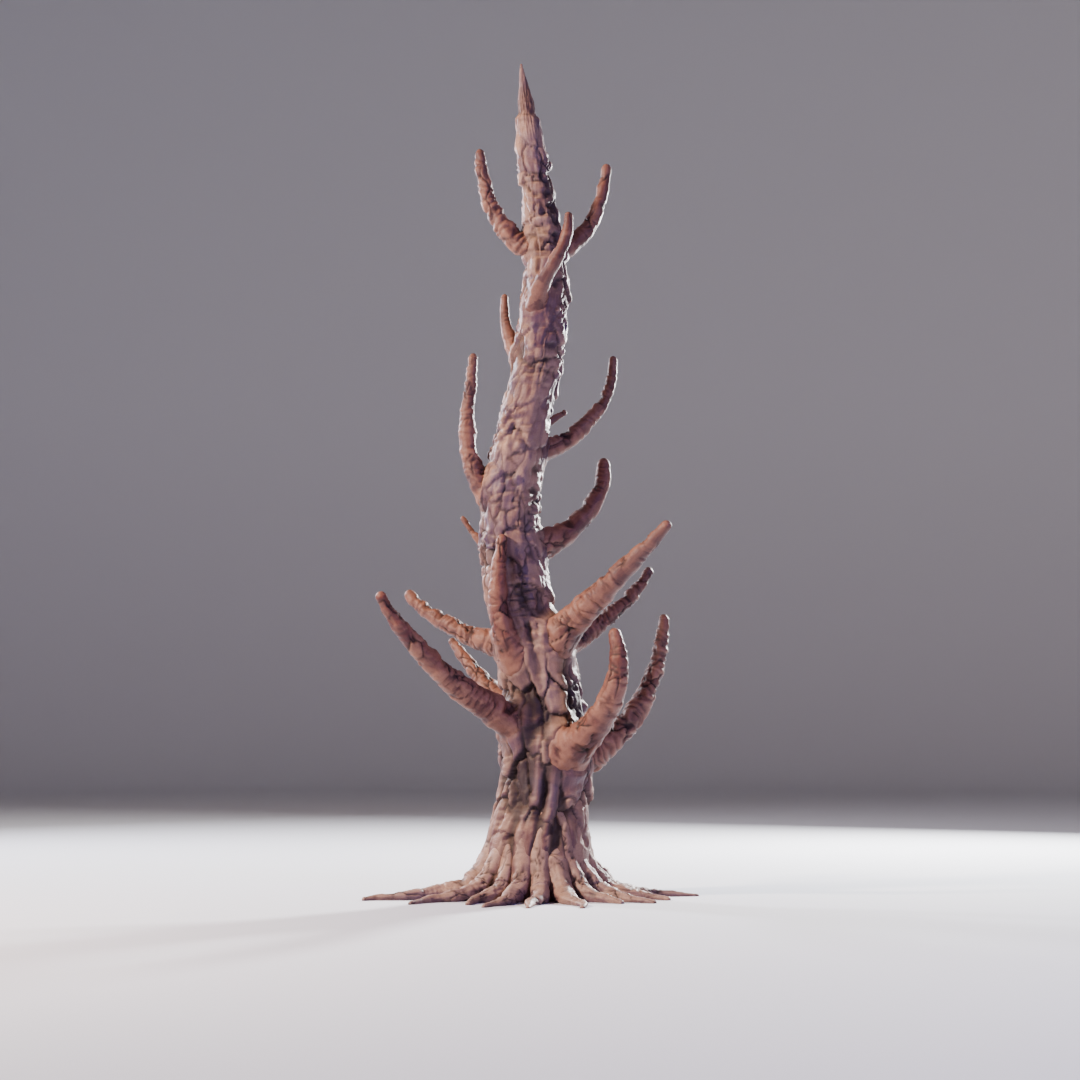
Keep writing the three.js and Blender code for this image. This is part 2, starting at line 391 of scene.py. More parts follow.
def shape_by(piece, group, **inputs):
    """Runs a group of geometry nodes on a piece and keeps the result as its mesh."""
    modifier = piece.modifiers.new(group.name, "NODES")
    modifier.node_group = group
    for item in group.interface.items_tree:
        if item.in_out == "INPUT" and item.name in inputs:
            modifier[item.identifier] = inputs[item.name]
    pick_only(piece)
    bpy.ops.object.modifier_apply(modifier=modifier.name)


def straight_bar(name, rings, sides):
    """A closed bar up the Z axis, drawn out ring by ring; each ring is a height and its two half widths."""
    bpy.ops.object.select_all(action="DESELECT")
    height, wide, deep = rings[0]
    bpy.ops.mesh.primitive_circle_add(vertices=sides, radius=1.0, fill_type="NGON")
    bar = bpy.context.object
    bar.name = name
    bpy.ops.object.mode_set(mode="EDIT")
    bpy.ops.mesh.select_all(action="SELECT")
    bpy.ops.transform.resize(value=(wide, deep, 1.0))
    bpy.ops.transform.translate(value=(0.0, 0.0, height))
    for next_height, next_wide, next_deep in rings[1:]:
        bpy.ops.mesh.extrude_region_move(TRANSFORM_OT_translate={"value": (0.0, 0.0, next_height - height)})
        growth = (next_wide / wide, next_deep / deep, 1.0)
        bpy.ops.transform.resize(value=growth, center_override=(0.0, 0.0, next_height))
        height, wide, deep = next_height, next_wide, next_deep
    bpy.ops.mesh.select_all(action="SELECT")
    bpy.ops.mesh.normals_make_consistent(inside=False)
    bpy.ops.object.mode_set(mode="OBJECT")
    return bar


def path_curve(name, centres, twist):
    """A smooth curve through the centres, carried on past both ends, and how far it starts before them."""
    beyond = [2 * centres[0] - centres[1], *centres, 2 * centres[-1] - centres[-2]]
    curve = bpy.data.curves.new(name, "CURVE")
    curve.dimensions = "3D"
    curve.twist_mode = twist
    curve.resolution_u = 6
    spline = curve.splines.new("BEZIER")
    spline.bezier_points.add(len(beyond) - 1)
    for point, place in zip(spline.bezier_points, beyond):
        point.co = place
        point.handle_left_type = "AUTO"
        point.handle_right_type = "AUTO"
    path = bpy.data.objects.new(name, curve)
    bpy.context.scene.collection.objects.link(path)
    return path, float(np.linalg.norm(centres[1] - centres[0]))


def rounded_end(length, girth):
    """Rings that close a limb in a blunt dome: distances along it, and shares of its girth."""
    whole = DOME_STEPS + DOME_FIRST_STEP
    turns = [(k + DOME_FIRST_STEP) / whole * pi / 2 for k in range(DOME_STEPS)]
    return [(length - girth * (1.0 - sin(turn)), cos(turn)) for turn in turns] + [(length, DOME_END)]


def remove(*things):
    """Takes helper objects out of the scene."""
    for thing in things:
        bpy.data.objects.remove(thing)


# ---- Bending and laying ------------------------------------------------------------------------------

LOWEST_RAY = 0.002
RAY_LENGTH = 3.0


def new_shaping(name, **inputs):
    """An empty group of geometry nodes with the inputs named, each with its kind of socket."""
    group = bpy.data.node_groups.new(name, "GeometryNodeTree")
    group.interface.new_socket("Geometry", in_out="INPUT", socket_type="NodeSocketGeometry")
    for label, kind in inputs.items():
        group.interface.new_socket(label, in_out="INPUT", socket_type=kind)
    group.interface.new_socket("Geometry", in_out="OUTPUT", socket_type="NodeSocketGeometry")
    return group, Wire(group).node("NodeGroupInput")


def close_shaping(geometry):
    """Ends a group of geometry nodes with its finished geometry."""
    geometry.node("NodeGroupOutput", None, {0: geometry})


def store(geometry, name, value, kind="FLOAT"):
    """Keeps a value on every vertex under a name."""
    settings = {"data_type": kind, "domain": "POINT"}
    sockets = {"Geometry": geometry, "Name": name, "Value": value}
    return geometry.node("GeometryNodeStoreNamedAttribute", settings, sockets)


def stored(tree, name, kind="FLOAT"):
    """A value kept on every vertex."""
    return tree.node("GeometryNodeInputNamedAttribute", {"data_type": kind}, {"Name": name}, "Attribute")


def shape_of(start, name):
    """The geometry of the object that is given to a group under a name."""
    return start.node("GeometryNodeObjectInfo", None, {"Object": start.out(name)}, "Geometry")


def along_path(start, length):
    """The place on the path at a length along it, with the path's tangent and normal there."""
    sampled = {"Curves": shape_of(start, "Path"), "Length": length}
    return start.node("GeometryNodeSampleCurve", {"mode": "LENGTH"}, sampled, "Position")


def scaled(direction, amount):
    """A vector made longer by an amount."""
    return direction.node("ShaderNodeVectorMath", {"operation": "SCALE"}, {0: direction, "Scale": amount})


def joined(x, y, z):
    """A vector from its three parts, of which x is a socket."""
    return x.node("ShaderNodeCombineXYZ", None, {"X": x, "Y": y, "Z": z})


def moved(start, geometry, **place):
    """A geometry whose vertices go to a Position or by an Offset."""
    return start.node("GeometryNodeSetPosition", None, {"Geometry": geometry, **place})


def make_bending():
    """Bends a straight limb along its path. Its straight places stay on it as the grain of its bark."""
    inputs = {"Path": "NodeSocketObject", "Lead": "NodeSocketFloat", "Shift": "NodeSocketFloat"}
    group, start = new_shaping("bending", **inputs)
    place = start.node("GeometryNodeInputPosition")
    x, y, z = place.part("X"), place.part("Y"), place.part("Z")
    grain = joined(x, y, z + start.out("Shift"))
    girth = (x * x + y * y) ** 0.5
    barked = store(start.out("Geometry"), "grain", grain, "FLOAT_VECTOR")
    barked = store(barked, "along", z)
    barked = store(barked, "girth", girth)
    centre = along_path(start, z + start.out("Lead"))
    across = centre.out("Normal")
    over = start.vector("CROSS_PRODUCT", centre.out("Tangent"), across)
    bent = start.vector("ADD", centre, start.vector("ADD", scaled(across, x), scaled(over, y)))
    close_shaping(moved(start, barked, Position=bent))
    return group


def make_laying():
    """Lays the trunk's straight bar against its smooth wall, ray by ray from its axis."""
    inputs = {"Path": "NodeSocketObject", "Wall": "NodeSocketObject", "Lead": "NodeSocketFloat"}
    group, start = new_shaping("laying", **inputs)
    place = start.node("GeometryNodeInputPosition")
    x, y, z = place.part("X"), place.part("Y"), place.part("Z")
    barked = store(start.out("Geometry"), "grain", place, "FLOAT_VECTOR")
    barked = store(barked, "along", z)
    level = z.most(LOWEST_RAY)
    axis = along_path(start, level + start.out("Lead"))
    source = joined(axis.part("X"), axis.part("Y"), level)
    outward = joined(x, y, 0.0)
    rays = {"Source Position": source, "Ray Direction": outward, "Ray Length": RAY_LENGTH}
    rays["Target Geometry"] = shape_of(start, "Wall")
    hit = start.node("GeometryNodeRaycast", None, rays, "Is Hit")
    struck = hit.out("Hit Position")
    choices = {"Switch": hit, "False": start.vector("ADD", axis, outward)}
    choices["True"] = joined(struck.part("X"), struck.part("Y"), z)
    settled = start.node("GeometryNodeSwitch", {"input_type": "VECTOR"}, choices)
    close_shaping(moved(start, barked, Position=settled))
    return group


# ---- Bark relief -------------------------------------------------------------------------------------

# How deep the rings round a bough's bark are; the other boughs have FAINT_RIDGES.
RIDGES = {
    "bough_low_right_back": 0.5,
    "bough_waist_right_back": 0.5,
    "bough_waist_left_back": 0.3,
    "bough_crown_left": 0.4,
    "bough_upper_right": 0.3,
    "bough_middle_left": 0.25,
    "bough_low_left_front": 0.15,
    "bough_upper_back": 0.3,
}
FAINT_RIDGES = 0.06
# How far a bough's bark has gone from brown to a rusty red; the others haven't.
RUST = {
    "bough_low_left_front": 0.8,
    "bough_waist_front": 0.7,
    "bough_low_right_front": 0.4,
    "bough_middle_right": 0.4,
    "bough_waist_left_back": 0.3,
    "bough_middle_back": 0.5,
}
# Marks on the trunk: the heading they face, their height and their size. The front is at -90 degrees.
KNOBS = ((-104, 5.2, 0.060), (-70, 3.5, 0.055), (70, 4.5, 0.070), (150, 5.6, 0.055), (10, 1.8, 0.075))
EYES = ((-88, 6.48, 0.065), (-100, 4.25, 0.060), (110, 3.9, 0.080), (40, 6.7, 0.055), (-20, 5.0, 0.060))
CLUMPS = ((-82, 2.45, 0.20), (95, 2.15, 0.22), (-130, 4.45, 0.22), (-35, 5.5, 0.16))

FILLET_SHARE = 0.95
FLARE_FILLET = 0.5
BOUGH_FILLET = 0.45
ROOT_FILLET = 0.7


def fillet(gap, size):
    """How far a surface swells towards a neighbour that is gap away, to meet it in a hollow of that size."""
    inside = (size - gap).most(0.0)
    hollow = size - (size * size - inside * inside).most(0.0) ** 0.5
    return hollow.least(size * (1.0 - sqrt(0.5)))


def push_out(geometry, height):
    """Moves every vertex out along its normal by a height in metres."""
    offset = scaled(geometry.node("GeometryNodeInputNormal"), height)
    return moved(geometry, geometry, Offset=offset)


def gap_to(start, surface):
    """How far every vertex is from a surface."""
    return start.node("GeometryNodeProximity", {"target_element": "FACES"}, {0: surface}, "Distance")


def keep_looks(barked, relief, crack, tone, joint):
    """Keeps what the bark's colours follow: its relief, cracks, plates, upper sides and joints; the relief,
    cracks and upper sides give its painted highlights and painted shade.
    """
    upper = barked.node("GeometryNodeInputNormal").part("Z").rise(-0.7, 0.7)
    looks = {"relief": relief, "crack": crack, "tone": tone, "upper": upper, "joint": joint}
    for name, value in looks.items():
        barked = store(barked, name, value)
    return barked


def bark_plates(grain, scale, length):
    """Bark broken into plates: how far inside its plate a place is, the plate's own number, and its droop."""
    wandered = grain.vector("ADD", grain, grain.noise(2.6, 2.0, 0.5, "Color").stretch(0.18, 0.18, 0.36))
    wandered = grain.vector("ADD", wandered, grain.noise(9.0, 1.0, 0.5, "Color").stretch(0.07, 0.07, 0.12))
    squeezed = wandered.stretch(1.0, 1.0, 1.0 / length)
    edge = squeezed.cells(scale, "DISTANCE_TO_EDGE")
    plate = squeezed.cells(scale)
    own = plate.out("Color").part("X")
    droop = (plate.out("Position").part("Z") - squeezed.part("Z")) * scale
    return edge, own, droop


def spot(grain, heading, z, size):
    """How far a place is from a spot on the trunk, in sizes of the spot."""
    girth = trunk_girth(z)
    turn = radians(heading)
    away = grain.vector("SUBTRACT", grain, (girth * cos(turn), girth * sin(turn), z))
    return away.node("ShaderNodeVectorMath", {"operation": "LENGTH"}, {0: away}, "Value") / size


# Heights between which one kind of bark on the trunk begins, or fades out when the first is the higher one.
FLARE_FADE = (1.5, 0.1)
PLATES_BEGIN = (0.35, 1.0)
PLATES_FADE = (2.4, 1.8)
LAST_PLATES_FADE = (2.9, 2.3)
LAST_PLATES = 0.3
CREASES_BEGIN = (2.2, 3.0)
CREASES_FADE = (5.0, 4.2)
SLABS_BEGIN = (4.2, 5.4)
SPIKE_BEGIN = (7.0, 7.5)
SPIKE_SWELL = (6.6, 7.3)
SPIKE_STEP = (7.42, 7.48)
TIP_FADE = (HEIGHT, 7.7)

# How far the marks on the trunk stand out, as a share of their size or, for burrs, in metres.
KNOB_HEIGHT = 0.55
EYE_RIM = 0.30
EYE_DEPTH = 0.45
BURR_HEIGHT = 0.045
BURR_BED = 0.012
BURR_SCALE = 14.0


def make_trunk_bark():
    """Fluted plates below, creases in the middle, slabs above and a splintered spike."""
    group, start = new_shaping("trunk bark", Limbs="NodeSocketObject")
    grain = stored(start, "grain", "FLOAT_VECTOR")
    z = stored(start, "along")

    # Where on the trunk each kind of bark is.
    foot = z.rise(*FLARE_FADE)
    fading = z.rise(*PLATES_FADE) * (1.0 - LAST_PLATES) + z.rise(*LAST_PLATES_FADE) * LAST_PLATES
    low = z.rise(*PLATES_BEGIN) * fading
    middle = z.rise(*CREASES_BEGIN) * z.rise(*CREASES_FADE)
    high = z.rise(*SLABS_BEGIN)
    spike = z.rise(*SPIKE_BEGIN)
    below_spike = 1.0 - spike

    # Long hollows between the buttresses, and slow swells.
    flute = 1.0 - grain.stretch(1.0, 1.0, 0.13).veins(3.6, 1.0, 0.4).rise(0.0, 0.16)
    swell = grain.stretch(1.0, 1.0, 0.5).wobble(2.2, 2.0, 0.5) * 2.0
    height = swell * 0.04 - flute * (0.012 + foot * 0.07 + low * 0.03)

    # Long plates on the lower trunk, and smaller slabs above.
    edge, own, droop = bark_plates(grain, 5.8, 2.2)
    broken = grain.noise(1.7, 1.0).rise(0.36, 0.56)
    crack = edge.rise(0.07, 0.0) * (0.35 + broken * 0.65)
    plates = edge.rise(0.0, 0.16) * 0.014 + (own - 0.5) * 0.040 + droop * 0.042 - crack * 0.026
    height = height + plates * (low + foot * 0.12)

    elsewhere = grain.vector("ADD", grain, (3.0, 1.0, 7.0))
    edge, slab, droop = bark_plates(elsewhere, 5.6, 1.9)
    crack_high = edge.rise(0.06, 0.0) * broken * 0.8
    slabs = edge.rise(0.0, 0.3) * 0.008 + (slab - 0.5) * 0.018 + droop * 0.022 - crack_high * 0.010
    height = height + slabs * (high * 1.2 + middle) * below_spike

    # Creases across the stem.
    wrinkle = grain.stretch(1.0, 1.0, 3.4).veins(3.0, 1.2, 0.4).rise(0.0, 0.08)
    wrinkle = 1.0 - (1.0 - wrinkle) * grain.noise(2.4, 1.0).rise(0.38, 0.60)
    height = height + (wrinkle - 0.8) * 0.029 * (middle + low * 0.35 + high * 0.9) * below_spike

    # Lumps, knobs, eyes and clumps of small burrs.
    lumps = grain.wobble(6.5, 2.0, 0.45) * (0.040 + (high + middle) * 0.035) * below_spike
    fine = grain.stretch(1.0, 1.0, 0.6).wobble(19.0, 2.0, 0.5) * 0.013
    height = height + lumps + fine
    for heading, level, width in KNOBS:
        height = height + spot(grain, heading, level, width).rise(1.0, 0.0) * width * KNOB_HEIGHT
    for heading, level, width in EYES:
        near = spot(grain, heading, level, width)
        height = height + (near.rise(1.7, 0.9) * EYE_RIM - near.rise(0.9, 0.1) * EYE_DEPTH) * width
    burrs = (1.0 - grain.cells(BURR_SCALE).rise(0.0, 0.75)) * BURR_HEIGHT - BURR_BED
    for heading, level, width in CLUMPS:
        height = height + spot(grain, heading, level, width).rise(1.0, 0.5) * burrs

    # The splintered spike, stepped in where it broke.
    splinter = grain.stretch(1.0, 1.0, 0.06).veins(24.0, 2.0, 0.5)
    height = height + splinter * spike * 0.06 - z.rise(*SPIKE_STEP) * 0.032 + z.rise(*SPIKE_SWELL) * 0.012
    height = height * z.rise(*TIP_FADE)

    # The bark calms down near a limb and swells to meet it.
    limbs = shape_of(start, "Limbs")
    gap = gap_to(start, limbs)
    place = start.node("GeometryNodeInputPosition")
    nearest = {"Mesh": limbs, "Value": stored(start, "girth"), "Sample Position": place}
    limb_girth = start.node("GeometryNodeSampleNearestSurface", None, nearest, "Value")
    size = limb_girth * (FILLET_SHARE + foot * FLARE_FILLET)
    collar = fillet(gap, size)
    calm = 1.0 - (gap / size).rise(1.2, 0.0) * 0.5
    height = height * calm + collar

    # The cracks, flutes and creases that the bark's colour darkens as painted shade.
    recess = crack * low + crack_high * (high + middle) * below_spike
    recess = recess.most(flute * (foot + low * 0.4) * 0.7).most((1.0 - wrinkle) * (middle + high) * 0.45)
    barked = push_out(start.out("Geometry"), height)
    close_shaping(keep_looks(barked, height - collar, recess, own, (gap / size).rise(1.6, 0.2)))
    return group


def make_bough_bark():
    """Lumps, creases, rings and shallow steps round a bough, calmer towards its blunt tip."""
    amounts = {name: "NodeSocketFloat" for name in ("Length", "Ridges", "Rust")}
    group, start = new_shaping("bough bark", Wall="NodeSocketObject", **amounts)
    grain = stored(start, "grain", "FLOAT_VECTOR")
    girth = stored(start, "girth")
    along = stored(start, "along") / start.out("Length")
    before_tip = along.rise(1.0, 0.9)
    size = girth * 0.5 + 0.028

    # Swells and knuckles.
    swell = grain.stretch(1.0, 1.0, 0.7).wobble(5.0, 2.0, 0.5) * 2.0
    knuckle = grain.stretch(0.35, 0.35, 1.0).wobble(9.0, 1.5, 0.5) * 2.0
    height = size * 0.12 + swell * size * 0.26 + knuckle * size * 0.22

    # Creases, and patches of cracked plates.
    wrinkle = grain.stretch(0.5, 0.5, 1.5).veins(6.5, 2.0, 0.5).rise(0.0, 0.06)
    wrinkle = 1.0 - (1.0 - wrinkle) * grain.noise(4.2, 1.0).rise(0.44, 0.60)
    height = height + (wrinkle - 0.8) * size * 0.17
    edge, own, _ = bark_plates(grain, 8.0, 1.8)
    broken = grain.noise(3.0, 1.0).rise(0.48, 0.62)
    crack = edge.rise(0.09, 0.0) * broken
    height = height + (own - 0.5) * size * 0.22 * broken - crack * size * 0.14

    # Rings like those of a horn.
    wave = start.math("FRACT", grain.part("Z") * 11.0 + grain.noise(4.0, 1.0) * 5.0)
    roll = wave.rise(0.0, 0.35) * wave.rise(1.0, 0.55)
    height = height + (roll - 0.6) * size * 0.42 * start.out("Ridges")
    groove = (1.0 - roll) * start.out("Ridges") * 0.5

    # Shallow steps on the upper side.
    upper = (start.node("GeometryNodeInputNormal").part("Z") + 0.2).rise(0.0, 0.8)
    step = grain.stretch(0.4, 0.4, 1.0).wobble(6.0, 0.0).rise(0.02, 0.07)
    height = height - step * upper * size * 0.22
    fine = grain.wobble(34.0, 2.0, 0.6) * size * 0.09
    height = (height + fine) * (0.35 + before_tip * 0.65)

    gap = gap_to(start, shape_of(start, "Wall"))
    # The cracks, creases and ring grooves that the bark's colour darkens as painted shade.
    recess = crack.most((1.0 - wrinkle) * 0.45).most(groove)
    barked = push_out(start.out("Geometry"), height + fillet(gap, girth * BOUGH_FILLET))
    barked = store(barked, "rust", start.out("Rust"))
    close_shaping(keep_looks(barked, height * 2.0, recess, own, (gap / girth).rise(1.6, 0.2)))
    return group


def make_root_bark():
    """Long ridges, knuckles and creases on a root, which fade where it leaves the trunk."""
    group, start = new_shaping("root bark", Wall="NodeSocketObject", Length="NodeSocketFloat")
    grain = stored(start, "grain", "FLOAT_VECTOR")
    girth = stored(start, "girth")
    along = stored(start, "along") / start.out("Length")
    before_tip = along.rise(1.0, 0.85)
    size = girth * 0.4 + 0.03

    # Swells, knuckles, long ridges, creases and cracks.
    swell = grain.stretch(1.0, 1.0, 0.6).wobble(6.0, 2.0, 0.5) * 2.0
    knuckle = grain.stretch(0.3, 0.3, 1.0).wobble(8.0, 1.5, 0.5) * 2.0
    ridge = grain.stretch(1.0, 1.0, 0.12).veins(12.0, 1.0) * 2.0
    wrinkle = grain.stretch(0.6, 0.6, 2.4).veins(9.0, 2.0, 0.55) * 2.0
    height = swell * size * 0.40 + knuckle * size * 0.34 + ridge * size * 0.3 + (wrinkle - 0.2) * size * 0.3
    edge, own, _ = bark_plates(grain, 9.0, 1.6)
    crack = edge.rise(0.09, 0.0) * grain.noise(3.0, 1.0).rise(0.45, 0.62)
    fine = grain.wobble(30.0, 2.0, 0.6) * size * 0.10
    height = (height + fine - crack * size * 0.15) * (0.4 + before_tip * 0.6)

    gap = gap_to(start, shape_of(start, "Wall"))
    height = height * (0.3 + (gap / girth).rise(0.0, 1.0) * 0.7)
    barked = push_out(start.out("Geometry"), height + fillet(gap, girth * ROOT_FILLET))
    # The cracks are kept for the bark's colour to darken as painted shade.
    close_shaping(keep_looks(barked, height * 2.0, crack, own, (gap / girth).rise(1.6, 0.2)))
    return group


# ---- Bark materials ----------------------------------------------------------------------------------

RUSTY = "6E2E1C"
COLLAR = "5A3229"
ROOT_COLLAR = "654238"


def colour(code):
    """A colour from its six hex digits, in the shader's linear values."""
    levels = [int(code[i : i + 2], 16) / 255.0 for i in (0, 2, 4)]
    linear = [level / 12.92 if level <= 0.04045 else ((level + 0.055) / 1.055) ** 2.4 for level in levels]
    return (*linear, 1.0)


def on_bark(tree, name, out="Fac"):
    """A value that was kept on the bark."""
    return tree.node("ShaderNodeAttribute", {"attribute_name": name}, None, out)


def bark_material(name, face, deep, weathered_and_highlight, stain_and_shade, collar):
    """Weathered bark: plates of a face colour with pale edges and stained patches, painted shade in its
    recesses and on its undersides, and painted highlights on its upper sides and raised bark, which is partly
    wear.
    """
    material = bpy.data.materials.new(name)
    material.use_nodes = True
    tree = material.node_tree
    tree.nodes.clear()
    start = Wire(tree)
    grain = on_bark(start, "grain", "Vector")
    relief = on_bark(start, "relief")
    crack = on_bark(start, "crack")
    tone = on_bark(start, "tone")
    joint = on_bark(start, "joint")
    upper = on_bark(start, "upper")
    rust = on_bark(start, "rust")

    streaks = grain.stretch(1.0, 1.0, 0.12).noise(26.0, 3.0, 0.6)
    patches = grain.stretch(1.0, 1.0, 0.5).noise(3.4, 3.0, 0.6)
    grit = grain.noise(70.0, 3.0, 0.65)

    # Each coat lies over the one before it, and the recesses come last.
    base = (patches.rise(0.42, 0.62) * 0.85).blend(colour(face), colour(stain_and_shade))
    base = (rust * 0.75).blend(base, colour(RUSTY))
    base = (joint * 0.8).blend(base, colour(collar))
    # Painted shade: the sides and undersides are darkened towards the stain colour, which also colours the
    # stained patches above.
    base = ((1.0 - upper) * 0.7).blend(base, colour(stain_and_shade))
    # Painted highlight: the upward faces are paled towards the weathered colour.
    base = (upper.rise(0.6, 1.0) * 0.5).blend(base, colour(weathered_and_highlight))
    base = ((tone - 0.5) * 0.5 + streaks * 0.5).blend(base, colour(weathered_and_highlight))
    # Raised bark paled: partly wear, partly a painted highlight on the bumps.
    base = (relief.rise(0.012, 0.045) * 0.55).blend(base, colour(weathered_and_highlight))
    # Painted shade: the sunken bark, and then the cracks and other recesses, are darkened towards the deep
    # colour.
    base = (relief.rise(0.0, -0.035) * 0.75).blend(base, colour(deep))
    base = (crack * 0.85).blend(base, colour(deep))
    base = (grit.rise(0.45, 0.75) * 0.22).blend(base, colour(deep))

    rough = 0.44 + grit * 0.2 + crack * 0.3
    texture = streaks * 0.5 + grit * 0.35 + grain.stretch(1.0, 1.0, 3.0).noise(16.0, 3.0, 0.6) * 0.5
    bump = start.node("ShaderNodeBump", None, {"Strength": 0.55, "Distance": 0.012, "Height": texture})
    sockets = {"Base Color": base, "Roughness": rough, "Normal": bump, "Specular IOR Level": 0.3}
    surface = start.node("ShaderNodeBsdfPrincipled", None, sockets)
    start.node("ShaderNodeOutputMaterial", None, {"Surface": surface})
    return material


# The deep colour paints shade in recesses and also the grit; the stain colour also paints shade on sides and
# undersides; the weathered colour also paints highlights on upper sides and raised bark.
trunk_bark = bark_material(
    "trunk_bark", face="613E34", deep="180C11", weathered_and_highlight="A8836E", stain_and_shade="42304A", collar=COLLAR
)
bough_bark = bark_material(
    "bough_bark", face="5A2E24", deep="160A0D", weathered_and_highlight="8C604F", stain_and_shade="3A232C", collar=COLLAR
)
root_bark = bark_material(
    "root_bark", face="69473B", deep="180C11", weathered_and_highlight="AC8873", stain_and_shade="46324A", collar=ROOT_COLLAR
)


def finish_piece(piece, node, material):
    """Shades a finished limb, gives it its bark and puts it in its plain solid's place."""
    pick_only(piece)
    bpy.ops.object.shade_smooth()
    piece.data.materials.clear()
    piece.data.materials.append(material)
    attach(piece, "root")
    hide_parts(node)


def cut_at_ground(piece):
    """Cuts a piece off flat at the ground and closes it there."""
    pick_only(piece)
    bpy.ops.object.mode_set(mode="EDIT")
    bpy.ops.mesh.select_all(action="SELECT")
    bpy.ops.mesh.bisect(plane_co=(0.0, 0.0, 0.0), plane_no=(0.0, 0.0, 1.0), use_fill=True, clear_inner=True)
    bpy.ops.object.mode_set(mode="OBJECT")


# ---- The limbs ---------------------------------------------------------------------------------------

TRUNK_SIDES = 48
TRUNK_RINGS = 124
TRUNK_EASING = 16
AXIS_POINTS = 41
RING_CROWDING = 0.25
GROUND_MARGIN = 0.15
NEAR_GROUND = 0.01
TIP_SPARE = 0.09
BLUNT_CUTS = 3
WELD = 0.0002
QUAD_TURN = radians(60)
FACING_DOWN = -0.9
WALL_ROUNDING = 2

ROOT_AXIS = 0.36
ROOT_DEPTH = 0.62
ROOT_SWAY = 0.035
ROOT_SWAY_LENGTH = 0.62
ROOT_SWAY_START = 0.3
ROOT_SWAY_TURN = 2.4

# The rib in which a root comes down the trunk's wall. Its depths and tops change from root to root.
RIB_RINGS = 10
RIB_FOOT = 0.36
RIB_TOPS = (1.15, 0.50, 0.90, 0.62, 0.75)
RIB_DEPTHS = (0.0, 0.07, 0.02)
RIB_DIVE = 0.2
RIB_DIVE_EASE = 6
RIB_NARROWING = 0.35
RIB_SINK = 0.82
RIB_SWING = 0.16
RIB_SPREAD = 5.0
RIB_WINDING = 4.0
HIGHEST_LYING = RIB_FOOT * 1.05


def distances_along(centres):
    """How far along a limb each of its centres is."""
    return np.concatenate(([0.0], np.cumsum(np.linalg.norm(np.diff(centres, axis=0), axis=1))))


def smooth(values, rounds=2):
    """Evens out small jumps between neighbours and keeps the ends."""
    values = np.array(values, float)
    for _ in range(rounds):
        values[1:-1] = (values[:-2] + 2.0 * values[1:-1] + values[2:]) / 4.0
    return values


def rib_above(heading, girth, top, depth):
    """Centres and girths of the rib in which a root runs on up the trunk's wall, from its top down."""
    outward = np.array((cos(heading), sin(heading), 0.0))
    centres, girths = [], []
    for share in np.linspace(0.0, 1.0, RIB_RINGS):
        z = top + (RIB_FOOT - top) * share
        swing = RIB_SWING * sin(RIB_SPREAD * heading + RIB_WINDING * z) * (1.0 - share)
        turned = np.array((cos(heading + swing), sin(heading + swing), 0.0))
        hit = trunk_skin.ray_cast(Vector(trunk_centre(z)), Vector(turned))[0]
        own = girth * (RIB_NARROWING + (1.0 - RIB_NARROWING) * share)
        dive = depth * (1.0 - share) + RIB_DIVE * (1.0 - share) ** RIB_DIVE_EASE
        centres.append(np.array(hit) - outward * (own * RIB_SINK + dive))
        girths.append(own)
    return np.array(centres), np.array(girths)


def limb_bar(node, distances, wides, deeps, end_wide, end_deep):
    """A limb's straight bar: its rings up to the last girth's length, and then the dome of its tip."""
    length = distances[-1]
    rings = [ring for ring in zip(distances, wides, deeps) if ring[0] < length - end_wide]
    for distance, share in rounded_end(length, end_wide):
        rings.append((distance, end_wide * share, end_deep * share))
    return straight_bar(node + "_bark", rings, LIMB_SIDES)


def draw_bough(node):
    """A bough as a smooth bent limb, before its bark."""
    centres, girths = measure_bough(node)
    girths[-BLUNT_CUTS:] = girths[-BLUNT_CUTS]
    centres = smooth(centres)
    girths = smooth(girths, 3)
    distances = distances_along(centres)
    bar = limb_bar(node, distances, girths, girths, girths[-3], girths[-3])
    path, lead = path_curve(node + "_path", centres[::2], "MINIMUM")
    return bar, path, lead, float(distances[-1])


def draw_root(node):
    """A root as a smooth limb: a rib down the trunk's wall that turns out along the ground, half sunk."""
    centres, widths, crests = measure_root(node)
    number = ROOTS.index(node)
    start = centres[0] - trunk_centre(0.0)
    heading = np.arctan2(start[1], start[0])
    centres[:, 2] = crests * ROOT_AXIS
    deeps = crests * ROOT_DEPTH
    rib_top = RIB_TOPS[number % len(RIB_TOPS)]
    rib_depth = RIB_DEPTHS[number % len(RIB_DEPTHS)]
    rib, rib_girths = rib_above(heading, min(widths[0], deeps[0]), rib_top, rib_depth)

    keep = crests < HIGHEST_LYING
    lying = centres[keep]
    run = unit(lying[-1] - lying[0])
    reach = (lying - lying[0]) @ run
    wave = np.sin(reach * 2.0 * pi / ROOT_SWAY_LENGTH + ROOT_SWAY_TURN * number)
    sway = ROOT_SWAY * wave * np.minimum(reach / ROOT_SWAY_START, 1.0)
    lying = lying + sway[:, None] * np.array((-run[1], run[0], 0.0))

    widths[-BLUNT_CUTS:] = widths[-BLUNT_CUTS]
    deeps[-BLUNT_CUTS:] = deeps[-BLUNT_CUTS]
    widths = smooth(np.concatenate((rib_girths, widths[keep])), 3)
    deeps = smooth(np.concatenate((rib_girths, deeps[keep])), 3)
    centres = smooth(np.vstack((rib, lying)), 4)
    distances = distances_along(centres)
    bar = limb_bar(node, distances, widths, deeps, widths[-2], deeps[-2])
    path, lead = path_curve(node + "_path", centres, "Z_UP")
    return bar, path, lead, float(distances[-1])


